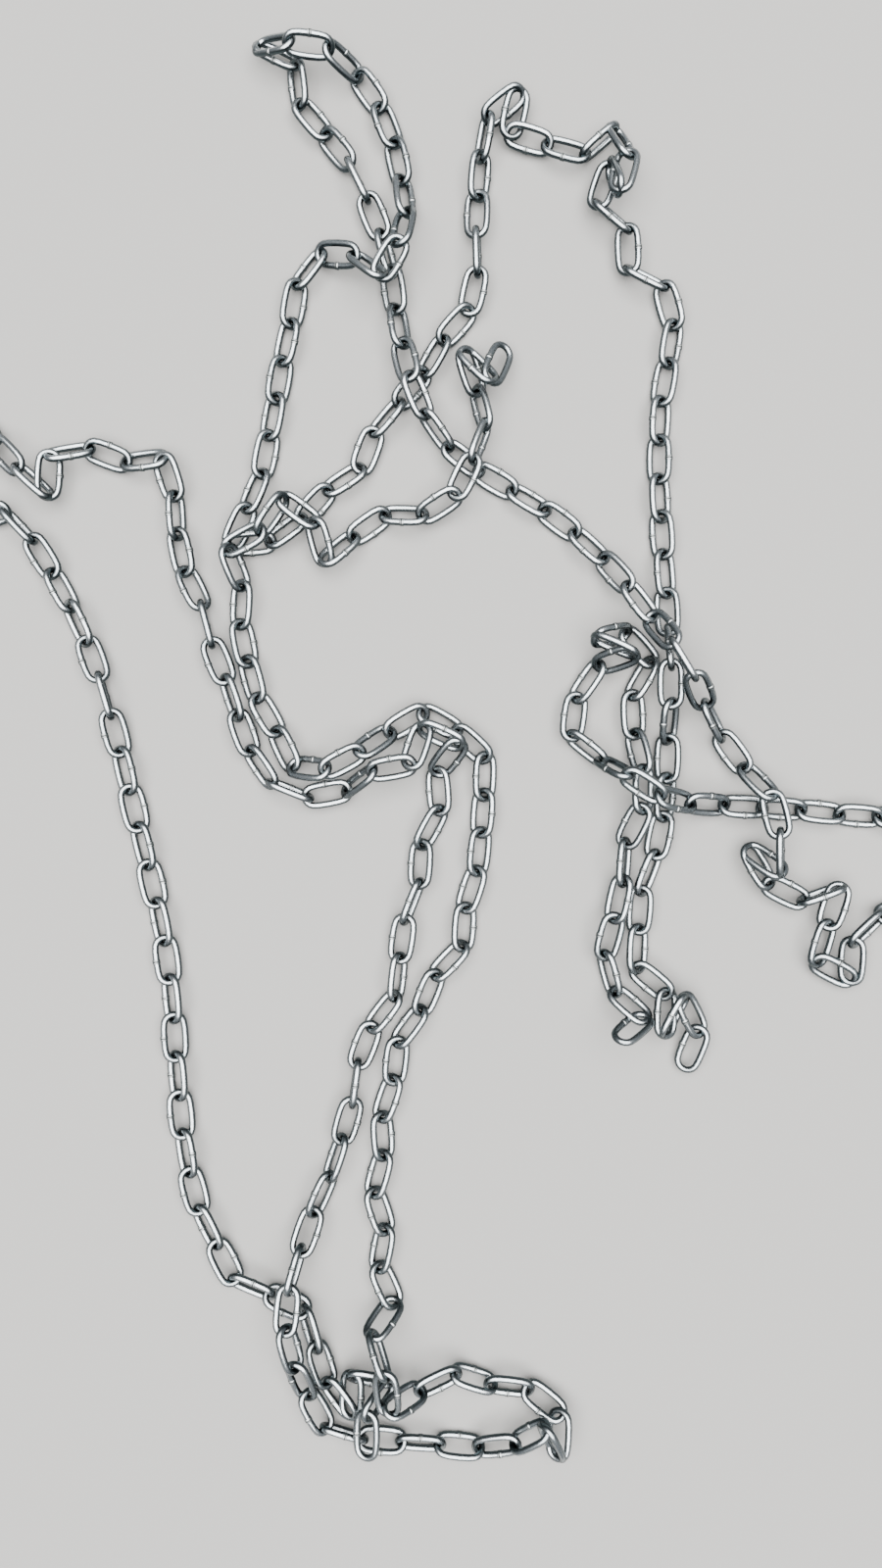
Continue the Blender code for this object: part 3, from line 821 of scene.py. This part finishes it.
def zinc_finish():
    material = bpy.data.materials.new("bright_zinc")
    material.use_nodes = True
    graph = Graph(material.node_tree)
    metal = material.node_tree.nodes["Principled BSDF"]

    coordinates = graph.add("ShaderNodeTexCoord").outputs["Object"]
    grain = noise(graph, coordinates, *GRAIN)
    blotch = noise(graph, coordinates, *BLOTCH)
    cloud = noise(graph, coordinates, *CLOUD)

    toned = graph.add("ShaderNodeAttribute", {"attribute_name": "link_tone"})
    tone = Amount(graph, toned.outputs["Fac"])
    normal = graph.add("ShaderNodeNewGeometry").outputs["Normal"]
    facing = graph.add("ShaderNodeSeparateXYZ", None, {"Vector": normal})
    upward = Amount(graph, facing.outputs["Z"])

    # Painted shade: faces that look sideways or down fade to the dark colour, and faces that look up keep
    # the zinc's colour.
    painted_lighting = upward.rising(*PAINTED_SHADE_FACING) * (0.85 + 0.3 * blotch)
    weld, groove, bearing = link_marks(graph)

    spotted = blotch.rising(0.35, 0.75) * 0.4 + grain.rising(0.4, 0.7) * 0.25
    dull = spotted + tone * 0.35 + cloud * 0.6 - 0.35
    plate = mix_colours(graph, dull, CLEAN_ZINC, DULL_ZINC)
    # The ends of the link, where its neighbours hang, are darkened a little toward the dark colour: partly
    # wear, partly painted shade.
    ends_worn_and_shaded = mix_colours(graph, bearing * 0.2, plate, PAINTED_SHADE)
    collar = mix_colours(graph, weld * 0.8, ends_worn_and_shaded, WELD_SCALE)
    # Here the painted shade goes onto the sides and underneath of every bar.
    with_painted_shade = mix_colours(graph, painted_lighting, PAINTED_SHADE, collar)
    colour = mix_colours(graph, groove * 0.95, with_painted_shade, WELD_GROOVE)
    graph.fill(metal.inputs["Base Color"], colour)
    graph.fill(metal.inputs["Metallic"], 1.0 - 0.35 * groove)
    graph.fill(metal.inputs["Roughness"], POLISH + 0.12 * blotch + 0.2 * weld)

    height = grain * 0.6 + blotch * 0.8 - groove * 3.0
    bump = graph.add("ShaderNodeBump", None, {
        "Height": height,
        "Distance": BUMP_DEPTH,
        "Strength": BUMP_STRENGTH,
    })
    graph.fill(metal.inputs["Normal"], bump.outputs["Normal"])
    return material


ZINC = zinc_finish()
print("nodes in the zinc:", len(ZINC.node_tree.nodes))

# %% [markdown]
# ## The dressed runs
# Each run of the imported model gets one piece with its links.
# A link looks the same turned half around its own length, so each link is turned or not by chance,
# which puts its weld on one side or the other.
# The chance has a fixed seed, so the heap comes out the same each time.

# %% Making the pieces
LAYING = laying_tree(ZINC)
HALF_TURN = Matrix.Rotation(math.pi, 4, "Y")
SEED = 11
chance = random.Random(SEED)


def dress_run(run, frames):
    """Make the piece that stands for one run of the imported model."""
    mesh = bpy.data.meshes.new(f"links_{run}")
    turned = [frame @ HALF_TURN if chance.random() < 0.5 else frame for frame in frames]
    mesh.from_pydata([frame.translation for frame in turned], [], [])
    angles = [angle for frame in turned for angle in frame.to_euler()]
    mesh.attributes.new("facing", "FLOAT_VECTOR", "POINT").data.foreach_set("vector", angles)
    tones = [chance.random() for frame in turned]
    mesh.attributes.new("link_tone", "FLOAT", "POINT").data.foreach_set("value", tones)
    piece = bpy.data.objects.new(mesh.name, mesh)
    bpy.context.scene.collection.objects.link(piece)
    laying = piece.modifiers.new("laying", "NODES")
    laying.node_group = LAYING
    rounding = piece.modifiers.new("rounding", "SUBSURF")
    rounding.levels = 1
    rounding.render_levels = 1
    bpy.context.view_layer.update()
    graph = bpy.context.evaluated_depsgraph_get()
    plain = bpy.data.meshes.new_from_object(piece.evaluated_get(graph))
    piece.modifiers.clear()
    piece.data = plain
    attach(piece, "root")
    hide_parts(f"chain_{run}")
    return piece


pieces = []
for letter, chain in chains.items():
    starts = [0] + chain.cuts
    stops = chain.cuts + [chain.count]
    for number, (start, stop) in enumerate(zip(starts, stops), 1):
        frames = [home @ frame for frame in chain.frames[start:stop]]
        pieces.append(dress_run(f"{letter}_run_{number:02d}", frames))
faces = sum(len(piece.data.polygons) for piece in pieces)
print("pieces:", len(pieces), "faces:", faces)

# %% [markdown]
# ## Floor and light
# The floor is plain and pale.
# A wide soft light stands straight overhead, so every bar has a white line along its top,
# and the dim surroundings leave its sides darker.
# Several lamps would draw several lines on each bar, which the real chain doesn't show.

# %% The floor
FLOOR_SIZE = 30.0
FLOOR_COLOUR = (0.40, 0.392, 0.376, 1.0)
FLOOR_ROUGHNESS = 0.9


def pale_floor():
    bpy.ops.mesh.primitive_plane_add(size=FLOOR_SIZE)
    floor = bpy.context.active_object
    floor.name = "floor"
    material = bpy.data.materials.new("pale_floor")
    material.use_nodes = True
    shader = material.node_tree.nodes["Principled BSDF"]
    shader.inputs["Base Color"].default_value = FLOOR_COLOUR
    shader.inputs["Roughness"].default_value = FLOOR_ROUGHNESS
    floor.data.materials.append(material)
    floor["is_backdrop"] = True


pale_floor()
print("the floor is", FLOOR_SIZE, "m wide")

# %% The light
LIGHT_SPREAD = 80.0
LIGHT_STRENGTH = 9.5
ROOM_COLOUR = (0.80, 0.85, 0.90, 1.0)
ROOM_STRENGTH = 0.3


def overhead_light(spread, strength):
    """Light everything alike from a wide round patch of sky, which is straight overhead."""
    data = bpy.data.lights.new("overhead", "SUN")
    data.angle = math.radians(spread)
    data.energy = strength
    light = bpy.data.objects.new("overhead", data)
    bpy.context.scene.collection.objects.link(light)


overhead_light(LIGHT_SPREAD, LIGHT_STRENGTH)
world = bpy.data.worlds.new("studio")
world.use_nodes = True
room = world.node_tree.nodes["Background"]
room.inputs["Color"].default_value = ROOM_COLOUR
room.inputs["Strength"].default_value = ROOM_STRENGTH
bpy.context.scene.world = world
print("light spread in degrees:", LIGHT_SPREAD)

# %% [markdown]
# ## Camera
# The picture was taken from straight above, from about a metre.
# Its scale of 1.2 points to a millimetre and its height of 1600 points fix the angle of view.

# %% Camera
PICTURE_HEIGHT = 1600.0
SENSOR = 36.0

camera_data = bpy.data.cameras.new("camera")
camera_data.sensor_fit = "VERTICAL"
camera_data.sensor_height = SENSOR
camera_data.lens = SENSOR * EYE_DISTANCE / (PICTURE_HEIGHT * POINT)
camera = bpy.data.objects.new("camera", camera_data)
bpy.context.scene.collection.objects.link(camera)
camera.location = home.translation + Vector((0.0, 0.0, EYE_DISTANCE + SCALE_HEIGHT))
bpy.context.scene.camera = camera
print("lens in millimetres:", round(camera_data.lens, 1))

# %% [markdown]
# ## Sizes at the end
# The size of the dressed heap's box is printed. The dressed heap has to stay in the box of
# the imported one.

# %% Writing the sizes
low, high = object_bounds()
print("dressed:", [round(b - a, 4) for a, b in zip(low, high)])
